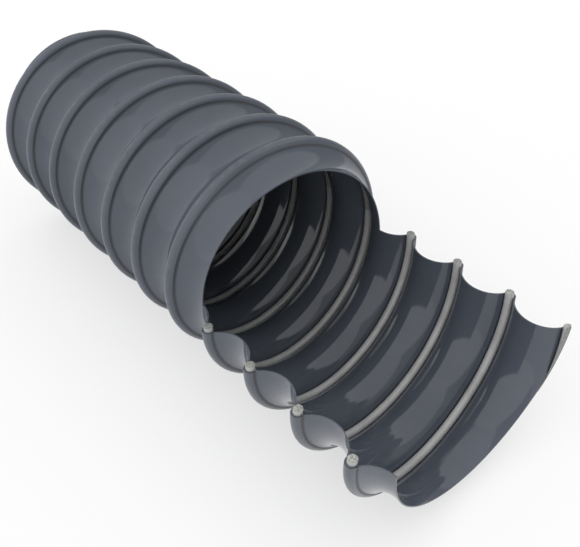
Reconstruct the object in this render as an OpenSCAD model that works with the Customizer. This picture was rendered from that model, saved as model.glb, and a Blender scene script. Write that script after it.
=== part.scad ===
// Ribbed sewer hose, a sample length that is cut open along its front part.
// A film wall is wound over a round helix wire, which shows on the inside.
// X runs along the hose towards the cut-open end, Z is up, and the hose lies
// on small flats at the foot of its ribs. Sizes are in millimetres.

/* [Wire] */
// Diameter of the helix wire
wire_d = 2.8; // [2:0.1:4]
// Distance along the hose from one turn of the wire to the next
pitch = 20.4; // [17:0.1:28]
// How far each cut end of the wire stands above the cut edge of the film
wire_proud = 1.6; // [0.5:0.1:3]

/* [Film] */
// Clear bore of the hose, between the inner sides of the wire
bore_d = 76.2; // [60:0.1:110]
// Thickness of the film between the turns
film_t = 0.4; // [0.3:0.05:1]
// Thickness of the lapped film over the crest of the wire
lap_t = 0.95; // [0.65:0.05:1.2]
// Thickness of the film beside the wire
side_t = 0.5; // [0.4:0.05:1]
// How far the film dips below the middle of the wire, halfway between turns
film_dip = 4.9; // [3:0.1:6]
// Clearance between the wire and its groove in the film
wire_gap = 0.1; // [0.05:0.01:0.3]

/* [Sample] */
// Turns from the rear end to the first cut end of the wire
whole_turns = 7.5; // [2.5:0.5:12]
// Turns from there to the front end, all in the cut-open part
open_turns = 3.5; // [1.5:1:6.5]
// How far in front of the bottom of a dip the film of the whole tube ends
edge_past = 0.2; // [0.1:0.1:2]
// Depth of the flats at the foot of the ribs
flat_depth = 0.5; // [0.2:0.1:0.6]

/* [Hidden] */
// Rings in one turn, and the angle between two of them
rings = 20;
ring_a = 360 / rings;
// The wire and its groove are hexagons, with flats that face in and out
sides = 6;
flat_r = cos(180 / sides);
wire_r = wire_d / 2;
groove_r = wire_r + wire_gap / flat_r;
rib_half_w = groove_r + side_t;
helix_r = bore_d / 2 + wire_r;
rib_h = groove_r * flat_r + lap_t;
outer_r = helix_r + rib_h;

// Lengths: x = 0 is the middle of the wire's first cut end, on the near side
whole_l = whole_turns * pitch;
open_l = open_turns * pitch;
first_end_x = (whole_l - open_l) / 2;
axis_z = outer_r - flat_depth;

// The film between two turns is an arc that bulges in towards the bore
span = pitch / 2 - rib_half_w;
dip_r = (pow(span, 2) + pow(film_dip, 2)) / (2 * film_dip);
dip_a = asin(span / dip_r);
dip_mid = dip_r - film_dip;

// Rings at the near and the far side of the hose, and how many rings the
// wire takes to pass through an end plane, which slices it lengthwise
near_ring = rings / 2;
far_ring = rings;
slice_rings = ceil(wire_r / pitch * rings);
margin = 5;

hoops = floor(open_turns);
film_color = [0.33, 0.35, 0.39];
wire_color = [0.66, 0.66, 0.64];

// Where turn n of the wire crosses ring j. The helix is left-handed, and its
// turn 0 crosses the near side at x = 0.
function wire_x(n, j) = pitch * (n - (j - near_ring) / rings);
// A point on ring j, with x along the axis and r out from it
function on_ring(x, r, j) = [x, r * cos(j * ring_a), r * sin(j * ring_a)];

// Height of the film over the helix radius, by distance after a turn of the wire.
// w is half the width and h the height of the hexagon round the wire, and t is
// what the arc's radius gains.
function film_profile(w, h, t) = concat(
    [[0, h], [w / 2, h], [w, 0]],
    [for (a = [-dip_a / 2, 0, dip_a / 2])
        [pitch / 2 + (dip_r + t) * sin(a), dip_mid - (dip_r + t) * cos(a)]],
    [[pitch - w, 0], [pitch - w / 2, h], [pitch, h]]);

outer_profile = film_profile(rib_half_w, rib_h, 0);
inner_profile = film_profile(groove_r, groove_r * flat_r, film_t);
// Columns of points in one turn: the profile without its two ends
columns = len(outer_profile) - 2;
first_turn = -ceil(whole_turns) - 1;
turns = ceil(whole_turns) + ceil(open_turns) + 3;
last_column = turns * columns - 1;

// Place along the hose of column c at ring j, before the ends are cut
function column_x(profile, c, j) =
    pitch * (first_turn + floor(c / columns)) + profile[c % columns + 1][0]
    + wire_x(0, j);
function kept_x(x) = max(-whole_l, min(open_l, x));
function phase(x, j) = let (d = (x - wire_x(0, j)) / pitch) (d - floor(d)) * pitch;
function film_point(profile, c, j) =
    let (x = kept_x(column_x(profile, c, j)))
    on_ring(x, helix_r + lookup(phase(x, j), profile), j);

// First and last column that ring j uses: the ones that land on the end planes
function first_column(profile, j) =
    max([for (c = [0:last_column]) if (column_x(profile, c, j) <= -whole_l) c]);
function end_column(profile, j) =
    min([for (c = [0:last_column]) if (column_x(profile, c, j) >= open_l) c]);

// Triangles of a four-cornered patch, less those that shrink to nothing
function patch(a, b, c, d) =
    [for (t = [[a, b, c], [a, c, d]]) if (t[0] != t[1] && t[1] != t[2] && t[0] != t[2]) t];

// The whole film tube, as points in rings. After one turn the columns have
// moved on by one pitch, so the last ring joins the first a turn further back.
module film_tube() {
    outer_range = [for (j = [0:rings - 1]) [first_column(outer_profile, j), end_column(outer_profile, j)]];
    inner_range = [for (j = [0:rings - 1]) [first_column(inner_profile, j), end_column(inner_profile, j)]];
    count = last_column + 1;
    points = [
        for (profile = [outer_profile, inner_profile], j = [0:rings - 1], c = [0:last_column])
            film_point(profile, c, j)];
    // Index of column c at ring j, where the ends hold every column beyond them
    function spot(range, base, j, c) =
        let (k = j % rings, moved = j == rings ? c - columns : c)
        base + k * count + max(range[k][0], min(range[k][1], moved));
    function outer(j, c) = spot(outer_range, 0, j, c);
    function inner(j, c) = spot(inner_range, rings * count, j, c);
    faces = concat(
        [for (j = [0:rings - 1], c = [0:last_column + columns], t = patch(
            outer(j, c), outer(j, c + 1), outer(j + 1, c + 1), outer(j + 1, c))) t],
        [for (j = [0:rings - 1], c = [0:last_column + columns], t = patch(
            inner(j, c), inner(j + 1, c), inner(j + 1, c + 1), inner(j, c + 1))) t],
        [for (j = [0:rings - 1], c = [-1, 2 * count], t = c < 0
            ? patch(outer(j, c), outer(j + 1, c), inner(j + 1, c), inner(j, c))
            : patch(outer(j, c), inner(j, c), inner(j + 1, c), outer(j + 1, c))) t]);
    polyhedron(points, faces);
}

// Middle of the wire of turn n, from ring j0 to ring j1
function wire_middle(n, j0, j1) = [for (j = [j0:j1]) on_ring(wire_x(n, j), helix_r, j)];
// Least gap between stretches of one wire that are half a turn or more apart
function least_gap(middle) = min([
    for (i = [0:len(middle) - 1], k = [i + rings / 2:1:len(middle) - 1]) norm(middle[i] - middle[k])]) - wire_d;

// The wire of turn n as one unbroken tube, from ring j0 to ring j1
module wire(n, j0, j1) {
    last = j1 - j0;
    points = [for (j = [j0:j1], s = [0:sides - 1])
        let (w = s * 360 / sides) on_ring(wire_x(n, j) + wire_r * cos(w), helix_r + wire_r * sin(w), j)];
    function at(k, s) = k * sides + s % sides;
    faces = concat(
        [for (k = [0:last - 1], s = [0:sides - 1], t = patch(
            at(k, s), at(k, s + 1), at(k + 1, s + 1), at(k + 1, s))) t],
        [for (s = [1:sides - 2]) [0, s + 1, s]],
        [for (s = [1:sides - 2]) [at(last, 0), at(last, s), at(last, s + 1)]]);
    polyhedron(points, faces);
}

// Box round the hose from x0 to x1 along it and from z0 to z1 over its axis
module slab(x0, x1, z0, z1) {
    half = outer_r + margin;
    translate([x0, -half, z0]) cube([x1 - x0, 2 * half, z1 - z0]);
}

// What the cut takes away: all over the level of the axis, in front of the edge of
// the whole tube. Like the wire, that edge leans by half a pitch across the hose,
// and so it runs from the bottom of a dip to the bottom of a dip.
module opened() {
    half = outer_r + margin;
    front = open_l + margin;
    function edge_x(y) = pitch / 4 * (y / outer_r - 1) + edge_past;
    linear_extrude(half)
        polygon([[edge_x(-half), -half], [front, -half], [front, half], [edge_x(half), half]]);
}

// What the cut leaves of turn n in the cut-open part
module cut_turn(n) intersection() {
    wire(n, near_ring - 1, far_ring + 1);
    slab(0, open_l, -outer_r - margin, wire_proud);
}

// Moves a piece from the hose's own axis to where the hose stands
module standing() translate([first_end_x, 0, axis_z]) children();

module hose_wall() standing() color(film_color) difference() {
    film_tube();
    opened();
    slab(-whole_l - margin, open_l + margin, -outer_r - margin, flat_depth - outer_r);
}

module wire_coil() standing() color(wire_color) difference() {
    coil_end = near_ring + ceil(whole_turns * rings) + slice_rings + 1;
    echo("least gap of the wire coil to itself, mm", least_gap(wire_middle(0, near_ring, coil_end)));
    wire(0, near_ring - 1, coil_end);
    slab(-pitch / 4, pitch, wire_proud, outer_r);
    slab(-whole_l - 2 * pitch, -whole_l, -outer_r - margin, outer_r + margin);
}

module wire_hoop(n) standing() color(wire_color) cut_turn(n);
module wire_tip() standing() color(wire_color) cut_turn(hoops + 1);

hose_wall();
wire_coil();
for (i = [1:hoops]) wire_hoop(i);
wire_tip();
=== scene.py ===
"""A ribbed sewer hose, a sample length whose front part is cut open along its axis.

The hose lies along X on a pale floor. A dark film is wound over a round helix wire.
The wire stands out as a rib on the outside and shows as bare rings on the inside.
"""

import math

import bmesh
import bpy
import numpy as np
from mathutils import Matrix, Vector

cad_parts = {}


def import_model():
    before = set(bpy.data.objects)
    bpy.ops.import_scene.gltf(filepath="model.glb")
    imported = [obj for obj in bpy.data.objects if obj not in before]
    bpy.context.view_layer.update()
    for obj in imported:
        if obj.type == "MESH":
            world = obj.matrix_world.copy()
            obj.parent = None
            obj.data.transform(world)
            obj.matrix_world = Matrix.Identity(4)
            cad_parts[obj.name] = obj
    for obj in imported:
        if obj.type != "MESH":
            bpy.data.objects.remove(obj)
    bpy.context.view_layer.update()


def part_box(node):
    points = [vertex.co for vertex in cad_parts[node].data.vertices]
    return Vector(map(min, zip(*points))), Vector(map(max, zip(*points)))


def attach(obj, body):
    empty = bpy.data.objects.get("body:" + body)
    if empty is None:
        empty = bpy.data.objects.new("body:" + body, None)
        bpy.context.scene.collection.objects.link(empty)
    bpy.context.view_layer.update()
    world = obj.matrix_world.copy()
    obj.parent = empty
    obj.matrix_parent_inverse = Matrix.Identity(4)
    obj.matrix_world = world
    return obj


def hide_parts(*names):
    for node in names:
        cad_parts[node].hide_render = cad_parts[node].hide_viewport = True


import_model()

# ---------------------------------------------------------------- sizes, in metres
MM = 0.001
WHOLE_TURNS = 7.5
OPEN_TURNS = 3.5
WIRE_R = 1.4 * MM
HELIX_R = 39.5 * MM
RIB_HALF_W = 1.97 * MM  # half the rib's width, level with the wire's middle
RIB_H = 2.07 * MM  # from the wire's middle to the crest of the rib
GROOVE_R = 1.5 * MM  # inside of the film over the wire
DIP = 4.9 * MM  # how far the film dips below the wire's middle
FILM_T = 0.4 * MM
WIRE_PROUD = 1.6 * MM  # how far the cut wire ends stand above the cut film
EDGE_PAST = 0.2 * MM  # how far in front of a dip's bottom the film of the whole tube ends
EASED = 0.12 * MM  # width of the eased edge of a saw cut
TINY = 0.001 * MM  # points this near to each other count as one

low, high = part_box("hose_wall")
PITCH = (high.x - low.x) / (WHOLE_TURNS + OPEN_TURNS)
FIRST_END_X = high.x - OPEN_TURNS * PITCH
AXIS_Z = high.z - (high.y - low.y) / 2
REAR_X = low.x
FRONT_X = high.x
CUT_Z = AXIS_Z + WIRE_PROUD  # height of the cut wire ends
REACH = HELIX_R + 4 * RIB_H  # from the axis to well outside the ribs

# ---------------------------------------------------------------- how fine the meshes are
RINGS = 96  # rings in one turn
SPARE_RINGS = 6  # rings that a wire runs on past a cut, before it is cut
END_RINGS = RINGS // 6  # the same past the rear plane, which slices the wire lengthwise
SIDES = 32  # points round the wire
RIB_STEPS = 9  # points on one side of a rib, and of the groove inside it
DIP_STEPS = 17  # points on the dip between two ribs
SHARP_ANGLE = math.radians(30)  # edges that turn more than this stay sharp
SAW_EDGE_ANGLE = math.radians(40)  # edges of a saw cut that turn more than this are eased


# ---------------------------------------------------------------- mesh helpers
def mesh_object(name, vertices, faces):
    mesh = bpy.data.meshes.new(name)
    mesh.from_pydata(vertices, [], faces)
    mesh.validate()
    obj = bpy.data.objects.new(name, mesh)
    bpy.context.scene.collection.objects.link(obj)
    return obj


def weld(obj):
    """Joins points at the same place and turns all faces outwards."""
    bm = bmesh.new()
    bm.from_mesh(obj.data)
    bmesh.ops.remove_doubles(bm, verts=bm.verts, dist=TINY)
    bmesh.ops.recalc_face_normals(bm, faces=bm.faces)
    bm.to_mesh(obj.data)
    bm.free()


def cut(obj, tool, operation):
    """Cuts a mesh with another one, which is used up."""
    step = obj.modifiers.new("cut", "BOOLEAN")
    step.operation = operation
    step.solver = "MANIFOLD"
    step.object = tool
    bpy.context.view_layer.update()
    evaluated = obj.evaluated_get(bpy.context.evaluated_depsgraph_get())
    mesh = bpy.data.meshes.new_from_object(evaluated)
    mesh.materials.clear()  # the modifier leaves an empty slot
    obj.modifiers.clear()
    obj.data = mesh
    bpy.data.objects.remove(tool)
    weld(obj)


def ease_saw_cuts(obj):
    """Takes the sharp edge off the cut ends of a wire."""
    bm = bmesh.new()
    bm.from_mesh(obj.data)
    level = [e for e in bm.edges if all(abs(v.co.z - CUT_Z) < TINY for v in e.verts)]
    edges = [e for e in level if e.calc_face_angle(0) > SAW_EDGE_ANGLE]
    bmesh.ops.bevel(
        bm, geom=edges, offset=EASED, segments=2, profile=0.5, affect="EDGES", clamp_overlap=True
    )
    bm.to_mesh(obj.data)
    bm.free()


def split_many_cornered(obj):
    """Makes triangles of faces with more than four corners, which could fold when exported."""
    bm = bmesh.new()
    bm.from_mesh(obj.data)
    bmesh.ops.triangulate(bm, faces=[face for face in bm.faces if len(face.verts) > 4])
    bm.to_mesh(obj.data)
    bm.free()


def smooth(obj):
    for polygon in obj.data.polygons:
        polygon.use_smooth = True
    obj.data.set_sharp_from_angle(angle=SHARP_ANGLE)


def arc(centre, radius, start, end, count):
    """Points of an arc in the (along, out) plane."""
    return [
        (centre[0] + radius * math.cos(a), centre[1] + radius * math.sin(a))
        for a in np.linspace(start, end, count)
    ]


def helix_frame(ring):
    """Crest place along X and the outward direction in YZ at a ring. Ring 0 is the near side."""
    angle = math.pi + 2 * math.pi * ring / RINGS
    return -PITCH * ring / RINGS, (math.cos(angle), math.sin(angle))


# ---------------------------------------------------------------- what the saw kept and took
def prism(outline):
    """A solid that reaches across the hose, from its outline of (x, z) points."""
    n = len(outline)
    vertices = [(x, y, z) for y in (-REACH, REACH) for x, z in outline]
    faces = [tuple(range(n)), tuple(range(2 * n - 1, n - 1, -1))]
    faces += [((i + 1) % n, i, n + i, n + (i + 1) % n) for i in range(n)]
    obj = mesh_object("prism", vertices, faces)
    weld(obj)
    return obj


def whole_block():
    """Everything between the two end planes."""
    top = AXIS_Z + REACH
    return prism([(REAR_X, 0), (FRONT_X, 0), (FRONT_X, top), (REAR_X, top)])


def kept_block(step):
    """What the saw left of a wire: all behind the step, and the lower part in front of it."""
    top = AXIS_Z + REACH
    lower = [(REAR_X, 0), (FRONT_X, 0), (FRONT_X, CUT_Z), (step, CUT_Z)]
    return prism([*lower, (step, top), (REAR_X, top)])


def opened_block():
    """What the saw took of the film. Its rear face follows the bottom of the dip over the top."""
    steps = RINGS // 2
    front = FRONT_X + REACH
    inner_r = HELIX_R / 2
    vertices = []
    for k in range(steps + 1):
        rim = FIRST_END_X + EDGE_PAST - PITCH / 2 * (1 - k / steps)
        angle = math.pi * k / steps
        y, z = -math.cos(angle), math.sin(angle)
        for x, r in ((front, inner_r), (front, REACH), (rim, REACH), (rim, inner_r)):
            vertices.append((x, r * y, AXIS_Z + r * z))
    faces = [(0, 1, 2, 3), tuple(4 * steps + c for c in (3, 2, 1, 0))]
    for k in range(steps):
        for c in range(4):
            a, b = 4 * k + c, 4 * k + (c + 1) % 4
            faces.append((a, a + 4, b + 4, b))
    obj = mesh_object("opened", vertices, faces)
    weld(obj)
    return obj


# ---------------------------------------------------------------- the film
def film_profiles():
    """Outer and inner outline of one turn of film, from one crest to the next."""
    half = PITCH / 2 - RIB_HALF_W
    radius = (half**2 + DIP**2) / (2 * DIP)
    middle = (PITCH / 2, radius - DIP)
    end = math.asin(half / radius)
    down = -math.pi / 2
    rib = [(RIB_HALF_W * x, RIB_H * z) for x, z in arc((0, 0), 1, math.pi / 2, 0, RIB_STEPS)]
    outer = rib + arc(middle, radius, down - end, down + end, DIP_STEPS)[1:-1]
    outer += [(PITCH - x, z) for x, z in reversed(rib)]
    # the inner film is concentric, and ends where it meets the groove round the wire
    inner_radius = radius + FILM_T
    reach = math.hypot(*middle)
    toward = math.atan2(middle[1], middle[0])
    spread = math.acos((GROOVE_R**2 + reach**2 - inner_radius**2) / (2 * GROOVE_R * reach))
    lip = toward - spread
    lip_point = (GROOVE_R * math.cos(lip), GROOVE_R * math.sin(lip))
    inner_end = math.atan2(lip_point[0] - middle[0], middle[1] - lip_point[1])
    inner = arc((0, 0), GROOVE_R, math.pi / 2, lip, RIB_STEPS)
    inner += arc(middle, inner_radius, down + inner_end, down - inner_end, DIP_STEPS)[1:-1]
    inner += arc((PITCH, 0), GROOVE_R, math.pi - lip, math.pi / 2, RIB_STEPS)
    return outer, inner


def film_solid(name):
    """The film as a closed helical wall that runs a turn past both ends of the hose."""
    outer, inner = film_profiles()
    columns = len(outer)
    first = -RINGS * (math.ceil(OPEN_TURNS) + 1)
    last = RINGS * (math.ceil(WHOLE_TURNS) + 2)
    vertices = []
    for profile in (outer, inner):
        for ring in range(first, last + 1):
            crest, (oy, oz) = helix_frame(ring)
            for along, out in profile:
                r = HELIX_R + out
                vertices.append((FIRST_END_X + crest + along, r * oy, AXIS_Z + r * oz))
    rows = last - first + 1
    inner_base = rows * columns
    faces = []
    for base in (0, inner_base):
        for row in range(rows - 1):
            for c in range(columns - 1):
                a = base + row * columns + c
                quad = (a, a + 1, a + columns + 1, a + columns)
                faces.append(quad if base else quad[::-1])

    def bridge(a, b):
        faces.append((a, b, b + inner_base, a + inner_base))

    # close the two ends of the strip and its free edges, one turn at the front and one at the rear
    for c in range(columns - 1):
        bridge(c, c + 1)
        bridge((rows - 1) * columns + c + 1, (rows - 1) * columns + c)
    for row in range(RINGS):
        bridge(row * columns + columns - 1, (row + 1) * columns + columns - 1)
        a = (rows - 1 - RINGS + row) * columns
        bridge(a + columns, a)
    obj = mesh_object(name, vertices, faces)
    weld(obj)
    return obj


# ---------------------------------------------------------------- the wire
def wire_solid(name, turn, last_ring):
    """The wire from just before its cut end on the near side, as a round tube with flat ends."""
    rings = range(-SPARE_RINGS, last_ring + 1)
    # the wire leans, so a slice of it across the hose is a little wider along X
    rise = PITCH / (2 * math.pi * HELIX_R)
    half_width = WIRE_R * math.sqrt(1 + rise**2)
    vertices = []
    for ring in rings:
        crest, (oy, oz) = helix_frame(ring)
        for s in range(SIDES):
            a = 2 * math.pi * s / SIDES
            r = HELIX_R + WIRE_R * math.sin(a)
            x = FIRST_END_X + turn * PITCH + crest + half_width * math.cos(a)
            vertices.append((x, r * oy, AXIS_Z + r * oz))
    count = len(rings)
    faces = []
    for k in range(count - 1):
        for s in range(SIDES):
            a, b = k * SIDES + s, k * SIDES + (s + 1) % SIDES
            faces.append((a, b, b + SIDES, a + SIDES))
    faces.append(tuple(range(SIDES))[::-1])
    faces.append(tuple(range((count - 1) * SIDES, count * SIDES)))
    obj = mesh_object(name, vertices, faces)
    weld(obj)
    return obj


# ---------------------------------------------------------------- shader helpers
def new_material(name):
    """A material with one plain shader, and its node tree."""
    material = bpy.data.materials.new(name)
    material.use_nodes = True
    tree = material.node_tree
    tree.nodes.clear()
    out = tree.nodes.new("ShaderNodeOutputMaterial")
    shader = tree.nodes.new("ShaderNodeBsdfPrincipled")
    tree.links.new(shader.outputs[0], out.inputs[0])
    return material, tree, shader


def noise(tree, place, scale, detail):
    """Noise from 0 to 1. The scale is in features a metre."""
    texture = tree.nodes.new("ShaderNodeTexNoise")
    texture.inputs["Scale"].default_value = scale
    texture.inputs["Detail"].default_value = detail
    tree.links.new(place, texture.inputs["Vector"])
    return texture.outputs["Fac"]


def remap(tree, value, span, to=(0, 1), smooth_step=False):
    """Maps a value from one span to another and holds it there."""
    node = tree.nodes.new("ShaderNodeMapRange")
    node.interpolation_type = "SMOOTHSTEP" if smooth_step else "LINEAR"
    for socket, number in zip(("From Min", "From Max", "To Min", "To Max"), (*span, *to)):
        node.inputs[socket].default_value = number
    tree.links.new(value, node.inputs["Value"])
    return node.outputs["Result"]


def math_node(tree, operation, *values):
    node = tree.nodes.new("ShaderNodeMath")
    node.operation = operation
    for socket, value in zip(node.inputs, values):
        if isinstance(value, (int, float)):
            socket.default_value = value
        else:
            tree.links.new(value, socket)
    return node.outputs[0]


def blend_color(tree, share, first, second):
    """Goes from one colour to another. Either may be a socket or a colour."""
    node = tree.nodes.new("ShaderNodeMix")
    node.data_type = "RGBA"
    tree.links.new(share, node.inputs["Factor"])
    for name, value in (("A", first), ("B", second)):
        socket = next(i for i in node.inputs if i.name == name and i.type == "RGBA")
        if isinstance(value, tuple):
            socket.default_value = (*value, 1)
        else:
            tree.links.new(value, socket)
    return next(o for o in node.outputs if o.type == "RGBA")


def add_bump(tree, shader, layers):
    """Bump from (height, depth) layers. A depth is in metres."""
    normal = None
    for height, depth in layers:
        bump = tree.nodes.new("ShaderNodeBump")
        bump.inputs["Distance"].default_value = depth
        tree.links.new(height, bump.inputs["Height"])
        if normal is not None:
            tree.links.new(normal, bump.inputs["Normal"])
        normal = bump.outputs["Normal"]
    tree.links.new(normal, shader.inputs["Normal"])


def place_on_hose(tree):
    """Where a point of the hose is, with its x and its z apart."""
    place = tree.nodes.new("ShaderNodeTexCoord").outputs["Object"]
    split = tree.nodes.new("ShaderNodeSeparateXYZ")
    tree.links.new(place, split.inputs[0])
    return place, split.outputs["X"], split.outputs["Z"]


def from_axis(tree, place):
    """The direction from the hose's axis to a place on the hose, and its distance."""
    away = tree.nodes.new("ShaderNodeVectorMath")
    away.operation = "MULTIPLY_ADD"
    away.inputs[1].default_value = (0, 1, 1)
    away.inputs[2].default_value = (0, 0, -AXIS_Z)
    tree.links.new(place, away.inputs[0])
    length = tree.nodes.new("ShaderNodeVectorMath")
    length.operation = "LENGTH"
    tree.links.new(away.outputs["Vector"], length.inputs[0])
    return away.outputs["Vector"], length.outputs["Value"]


def inner_side(tree, away):
    """1 on the sides that face the axis, and 0 on those that face out."""
    facing = tree.nodes.new("ShaderNodeVectorMath")
    facing.operation = "DOT_PRODUCT"
    tree.links.new(away, facing.inputs[0])
    tree.links.new(tree.nodes.new("ShaderNodeNewGeometry").outputs["Normal"], facing.inputs[1])
    return remap(tree, facing.outputs["Value"], (-SIDE_FADE, SIDE_FADE), (1, 0))


# ---------------------------------------------------------------- the film's colours and finish
# A scale is in features a metre, a depth is that of a bump, and a span holds the two values of
# a noise that are stretched to 0 and 1.
CLOUD_SPAN, MATT_SPAN = (0.35, 0.65), (0.3, 0.7)
DEEP = 3 * PITCH  # how far behind the first cut end the inside's painted shade is at its darkest
FILM_DARK, FILM_LIGHT = (0.066, 0.077, 0.1), (0.078, 0.09, 0.115)
# painted shade: the inside colours are darker than the outside ones
INSIDE_DARK, INSIDE_LIGHT = (0.055, 0.063, 0.078), (0.063, 0.073, 0.089)
INSIDE_SHADE_SHARE = 0.6  # painted shade, deep inside
SIDE_FADE = 2 * MM  # blends the inside and the outside colour where the film faces along the hose
FILM_CLOUD_SCALE = 45
FILM_ROUGHNESS = (0.06, 0.11)
FILM_MATT_SCALE = 160
FILM_IOR = 1.5
LAP_ROUGHNESS = 0.24  # added where the film laps over the wire
WAVE_SCALE, WAVE_DEPTH = 110, 0.05 * MM
FINE_DEPTH = 0.002 * MM  # of the flecks and the scuffs
FLECK_SCALE, FLECK_SPAN = 1400, (0.6, 0.8)
FLECK_COLOR, FLECK_SHARE = (0.10, 0.11, 0.13), 0.25
SCUFF_SCALE, SCUFF_SPAN = 420, (0.5, 0.72)
SCUFFS_FROM = 1.5 * MM  # how far over the wire's middle the scuffs begin
WORN_COLOR, WORN_SHARE, WORN_ROUGHNESS = (0.16, 0.165, 0.175), 0.35, 0.1
# the darkest painted shade, used in the creases and deep in the tube; the creases are also made
# rougher
PAINTED_SHADE_COLOR, CREASE_SHADE_SHARE, CREASE_ROUGHNESS = (0.02, 0.022, 0.026), 0.75, 0.35
# painted shade sits in the creases, level with the wire's middle, where it comes in and goes out
CREASE_SHADE_IN = (HELIX_R - 0.7 * MM, HELIX_R - 0.1 * MM)
CREASE_SHADE_OUT = (HELIX_R + 0.1 * MM, HELIX_R + 0.8 * MM)


def film_color(tree, place, x, inner):
    """Cloudy slate, painted darker inside as shade, darker still deep in the tube, and turning to
    the outside colour at the front.
    """
    clouds = remap(tree, noise(tree, place, FILM_CLOUD_SCALE, 3), CLOUD_SPAN)
    outside = blend_color(tree, clouds, FILM_DARK, FILM_LIGHT)
    inside = blend_color(tree, clouds, INSIDE_DARK, INSIDE_LIGHT)
    # painted shade darkens the inside deep in the tube
    deep_shade = remap(tree, x, (FIRST_END_X - DEEP, FIRST_END_X), (INSIDE_SHADE_SHARE, 0))
    inside = blend_color(tree, deep_shade, inside, PAINTED_SHADE_COLOR)
    # over the open part the painted shade gives way to the outside colour
    toward_front = remap(tree, x, (FIRST_END_X, FRONT_X))
    inside = blend_color(tree, toward_front, inside, outside)
    return blend_color(tree, inner, outside, inside)


def film_material():
    """Glossy slate film: cloudy colour, faint waves, scuffed ribs and painted shade in the
    creases.
    """
    material, tree, shader = new_material("hose_film")
    place, x, _ = place_on_hose(tree)
    away, out = from_axis(tree, place)
    fleck = noise(tree, place, FLECK_SCALE, 2)
    scuff = remap(tree, noise(tree, place, SCUFF_SCALE, 4), SCUFF_SPAN)
    crest = remap(tree, out, (HELIX_R + SCUFFS_FROM, HELIX_R + RIB_H), smooth_step=True)
    wear = math_node(tree, "MULTIPLY", crest, scuff)
    # a band of painted shade where the film meets the rib, inside and outside
    up_to_crease = remap(tree, out, CREASE_SHADE_IN, smooth_step=True)
    past_crease = remap(tree, out, CREASE_SHADE_OUT, (1, 0), smooth_step=True)
    crease_shade = math_node(tree, "MULTIPLY", up_to_crease, past_crease)

    color = film_color(tree, place, x, inner_side(tree, away))
    for share, tint in (
        (remap(tree, fleck, FLECK_SPAN, (0, FLECK_SHARE)), FLECK_COLOR),
        (math_node(tree, "MULTIPLY", wear, WORN_SHARE), WORN_COLOR),
        (math_node(tree, "MULTIPLY", crease_shade, CREASE_SHADE_SHARE), PAINTED_SHADE_COLOR),
    ):
        color = blend_color(tree, share, color, tint)
    tree.links.new(color, shader.inputs["Base Color"])

    rough = remap(tree, noise(tree, place, FILM_MATT_SCALE, 3), MATT_SPAN, FILM_ROUGHNESS)
    for added in (
        remap(tree, out, (HELIX_R, HELIX_R + RIB_H), (0, LAP_ROUGHNESS), smooth_step=True),
        math_node(tree, "MULTIPLY", wear, WORN_ROUGHNESS),
        math_node(tree, "MULTIPLY", crease_shade, CREASE_ROUGHNESS),
    ):
        rough = math_node(tree, "ADD", rough, added)
    tree.links.new(rough, shader.inputs["Roughness"])

    waves = noise(tree, place, WAVE_SCALE, 1)
    add_bump(tree, shader, ((waves, WAVE_DEPTH), (fleck, FINE_DEPTH), (scuff, FINE_DEPTH)))
    shader.inputs["IOR"].default_value = FILM_IOR
    return material


# ---------------------------------------------------------------- the wire's colours and finish
WIRE_DARK, WIRE_LIGHT = (0.345, 0.345, 0.345), (0.415, 0.415, 0.418)
WIRE_DEEP_SHADE, WIRE_DEEP_SHADE_SHARE = (0.1, 0.1, 0.105), 0.45  # painted shade, deep inside
WIRE_ROUGHNESS = (0.25, 0.38)
WIRE_CLOUD_SCALE, WIRE_CLOUD_DEPTH = 120, 0.03 * MM
GRAIN_SCALE, GRAIN_DEPTH = 2600, 0.006 * MM
SPECKLE_SPAN = (0.4, 0.62)
CUT_FADE = (0.1 * MM, 0.02 * MM)  # how far under a cut its look begins, and is full
CUT_DARK, CUT_LIGHT = (0.2, 0.205, 0.19), (0.5, 0.51, 0.47)
CUT_SHADE, CUT_SHADE_SHARE = (0.1, 0.1, 0.1), 0.6  # painted shade on the rearmost cut end
CUT_SHADE_REACH = 3 * PITCH  # how far in front of that one the painted shade on the cut ends has faded out
CUT_ROUGHNESS = 0.15  # added on all cuts
END_FADE = (0.05 * MM, 0.01 * MM)  # as CUT_FADE, where an end plane slices the wire
END_DARK, END_LIGHT = (0.06, 0.06, 0.06), (0.3, 0.3, 0.29)
SAW_MARK_SCALE, SAW_MARK_WAVER, SAW_MARK_DEPTH = 900, 2, 0.01 * MM


def wire_color(tree, x, clouds, speckle, at_cut, at_end):
    """Cloudy light grey with painted shade deep in the tube, and speckled cuts with painted shade
    on the rearmost ones.
    """
    color = blend_color(tree, remap(tree, clouds, CLOUD_SPAN), WIRE_DARK, WIRE_LIGHT)
    # painted shade on the wire deep in the tube
    deep_shade = remap(tree, x, (FIRST_END_X - DEEP, FIRST_END_X + PITCH), (WIRE_DEEP_SHADE_SHARE, 0))
    color = blend_color(tree, deep_shade, color, WIRE_DEEP_SHADE)
    face = blend_color(tree, speckle, CUT_DARK, CUT_LIGHT)
    # painted shade on the cut ends, darkest at the rearmost one
    shaded_cuts = (FIRST_END_X, FIRST_END_X + CUT_SHADE_REACH)
    face = blend_color(tree, remap(tree, x, shaded_cuts, (CUT_SHADE_SHARE, 0)), face, CUT_SHADE)
    color = blend_color(tree, at_cut, color, face)
    sliced = blend_color(tree, speckle, END_DARK, END_LIGHT)
    return blend_color(tree, at_end, color, sliced)


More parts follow.
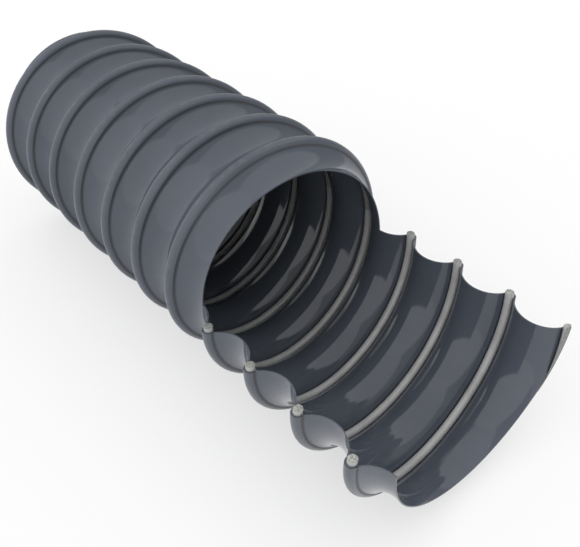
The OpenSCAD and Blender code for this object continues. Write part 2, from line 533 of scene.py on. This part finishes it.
def wire_material():
    """Coated wire: satin light grey, with speckled, lightly scored saw cuts."""
    material, tree, shader = new_material("helix_wire")
    place, x, z = place_on_hose(tree)
    clouds = noise(tree, place, WIRE_CLOUD_SCALE, 3)
    grain = noise(tree, place, GRAIN_SCALE, 3)
    at_cut = remap(tree, z, [CUT_Z - fade for fade in CUT_FADE])
    from_middle = math_node(tree, "ABSOLUTE", x)
    at_end = remap(tree, from_middle, [FRONT_X - fade for fade in END_FADE])
    color = wire_color(tree, x, clouds, remap(tree, grain, SPECKLE_SPAN), at_cut, at_end)
    tree.links.new(color, shader.inputs["Base Color"])

    sawn = math_node(tree, "MAXIMUM", at_cut, at_end)
    rough = remap(tree, grain, MATT_SPAN, WIRE_ROUGHNESS)
    rough = math_node(tree, "ADD", rough, math_node(tree, "MULTIPLY", sawn, CUT_ROUGHNESS))
    tree.links.new(rough, shader.inputs["Roughness"])

    marks = tree.nodes.new("ShaderNodeTexWave")
    marks.inputs["Scale"].default_value = SAW_MARK_SCALE
    marks.inputs["Distortion"].default_value = SAW_MARK_WAVER
    tree.links.new(place, marks.inputs["Vector"])
    scores = math_node(tree, "MULTIPLY", marks.outputs["Fac"], sawn)
    layers = ((clouds, WIRE_CLOUD_DEPTH), (grain, GRAIN_DEPTH), (scores, SAW_MARK_DEPTH))
    add_bump(tree, shader, layers)
    return material


# ---------------------------------------------------------------- the object
def build_film():
    film = film_solid("hose_film")
    cut(film, whole_block(), "INTERSECT")
    cut(film, opened_block(), "DIFFERENCE")
    split_many_cornered(film)
    smooth(film)
    film.data.materials.append(film_material())
    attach(film, "root")
    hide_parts("hose_wall")


def build_wires():
    """The coil in the whole tube, a hoop for each turn of the open part, and the tip."""
    hoops = math.floor(OPEN_TURNS)
    coil_end = math.ceil(WHOLE_TURNS * RINGS) + END_RINGS
    hoop_end = RINGS // 2 + SPARE_RINGS
    # each piece: its node, its turn of the wire, its last ring, and where the saw stopped
    pieces = [("wire_coil", 0, coil_end, FIRST_END_X - PITCH / 4)]
    pieces += [(f"wire_hoop_{n}", n, hoop_end, FIRST_END_X) for n in range(1, hoops + 1)]
    pieces += [("wire_tip", hoops + 1, hoop_end, FIRST_END_X)]
    coated = wire_material()
    for node, turn, last_ring, step in pieces:
        wire = wire_solid("bare_" + node, turn, last_ring)
        cut(wire, kept_block(step), "INTERSECT")
        ease_saw_cuts(wire)
        split_many_cornered(wire)
        smooth(wire)
        wire.data.materials.append(coated)
        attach(wire, "root")
        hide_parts(node)


build_film()
build_wires()

# ---------------------------------------------------------------- floor
scene = bpy.context.scene
scene.view_settings.view_transform = "Standard"

FLOOR_REACH = 20.0  # from the middle of the floor to each side, in metres
FLOOR_COLOR = (0.93, 0.93, 0.93, 1)
FLOOR_ROUGHNESS = 0.9
FLOOR_GLOW = 0.55  # share of plain white in what the camera and clear reflections see


def add_glow(tree, shader):
    """Mixes plain white into a shader, for the camera and for clear reflections."""
    path = tree.nodes.new("ShaderNodeLightPath")
    seen = path.outputs["Is Camera Ray"]
    for ray in ("Is Glossy Ray", "Is Transmission Ray"):
        seen = math_node(tree, "MAXIMUM", seen, path.outputs[ray])
    glow = tree.nodes.new("ShaderNodeEmission")
    mix = tree.nodes.new("ShaderNodeMixShader")
    out = next(node for node in tree.nodes if node.type == "OUTPUT_MATERIAL")
    tree.links.new(math_node(tree, "MULTIPLY", seen, FLOOR_GLOW), mix.inputs[0])
    tree.links.new(shader.outputs[0], mix.inputs[1])
    tree.links.new(glow.outputs[0], mix.inputs[2])
    tree.links.new(mix.outputs[0], out.inputs[0])


def floor():
    signs = ((-1, -1), (1, -1), (1, 1), (-1, 1))
    corners = [(x * FLOOR_REACH, y * FLOOR_REACH, 0) for x, y in signs]
    obj = mesh_object("floor", corners, [(0, 1, 2, 3)])
    material, tree, shader = new_material("floor")
    shader.inputs["Base Color"].default_value = FLOOR_COLOR
    shader.inputs["Roughness"].default_value = FLOOR_ROUGHNESS
    add_glow(tree, shader)
    obj.data.materials.append(material)


# ---------------------------------------------------------------- light
# The studio has a bright wall on the near side, a light overhead, and is dimmer all round.
# Each light: azimuth and elevation of its middle in degrees, the cosines of the angles from
# there at which it begins and is full, and its strength.
STUDIO_LIGHTS = (
    (-95, 0, 0.22, 0.28, 1.31),
    (80, 72, 0.67, 0.71, 1.18),
)
STUDIO_DIM = 0.56


def studio_light(tree, toward, azimuth, elevation, begins, full, level):
    """Strength of one light in the direction of a ray."""
    azimuth, elevation = math.radians(azimuth), math.radians(elevation)
    nearness = tree.nodes.new("ShaderNodeVectorMath")
    nearness.operation = "DOT_PRODUCT"
    nearness.inputs[1].default_value = (
        math.cos(elevation) * math.cos(azimuth),
        math.cos(elevation) * math.sin(azimuth),
        math.sin(elevation),
    )
    tree.links.new(toward, nearness.inputs[0])
    span, strengths = (begins, full), (STUDIO_DIM, level)
    return remap(tree, nearness.outputs["Value"], span, strengths, smooth_step=True)


def world():
    studio = bpy.data.worlds.new("studio")
    studio.use_nodes = True
    scene.world = studio
    tree = studio.node_tree
    tree.nodes.clear()
    toward = tree.nodes.new("ShaderNodeTexCoord").outputs["Generated"]
    strength = studio_light(tree, toward, *STUDIO_LIGHTS[0])
    for light in STUDIO_LIGHTS[1:]:
        strength = math_node(tree, "MAXIMUM", strength, studio_light(tree, toward, *light))
    background = tree.nodes.new("ShaderNodeBackground")
    background.inputs["Color"].default_value = (1, 1, 1, 1)
    out = tree.nodes.new("ShaderNodeOutputWorld")
    tree.links.new(strength, background.inputs["Strength"])
    tree.links.new(background.outputs[0], out.inputs[0])


floor()
world()

# ---------------------------------------------------------------- camera
CAMERA_AZIMUTH, CAMERA_ELEVATION, CAMERA_ROLL = 50.516, 40.667, -1.700  # degrees
CAMERA_DISTANCE = 10.711 * PITCH
CAMERA_TARGET = Vector((FIRST_END_X - 0.156 * PITCH, -0.219 * PITCH, AXIS_Z))
IMAGE_WIDTH = 580  # pixels
FOCAL_LENGTH = 664.96  # pixels
SENSOR_WIDTH = 36  # the lens is given for this sensor, in mm


def camera():
    """The camera looks down on the cut-open end from the near side."""
    angles = (CAMERA_AZIMUTH, CAMERA_ELEVATION, CAMERA_ROLL)
    azimuth, elevation, roll = (math.radians(a) for a in angles)
    back = Vector((
        math.sin(azimuth) * math.cos(elevation),
        -math.cos(azimuth) * math.cos(elevation),
        math.sin(elevation),
    ))
    right = Vector((math.cos(azimuth), math.sin(azimuth), 0))
    up = back.cross(right)
    side = math.cos(roll) * right + math.sin(roll) * up
    top = -math.sin(roll) * right + math.cos(roll) * up
    data = bpy.data.cameras.new("camera")
    data.sensor_width = SENSOR_WIDTH
    data.lens = SENSOR_WIDTH * FOCAL_LENGTH / IMAGE_WIDTH
    data.clip_start, data.clip_end = 0.01, 50
    obj = bpy.data.objects.new("camera", data)
    scene.collection.objects.link(obj)
    turn = Matrix((side, top, back)).transposed()
    place = Matrix.Translation(CAMERA_TARGET + back * CAMERA_DISTANCE)
    obj.matrix_world = place @ turn.to_4x4()
    scene.camera = obj


camera()
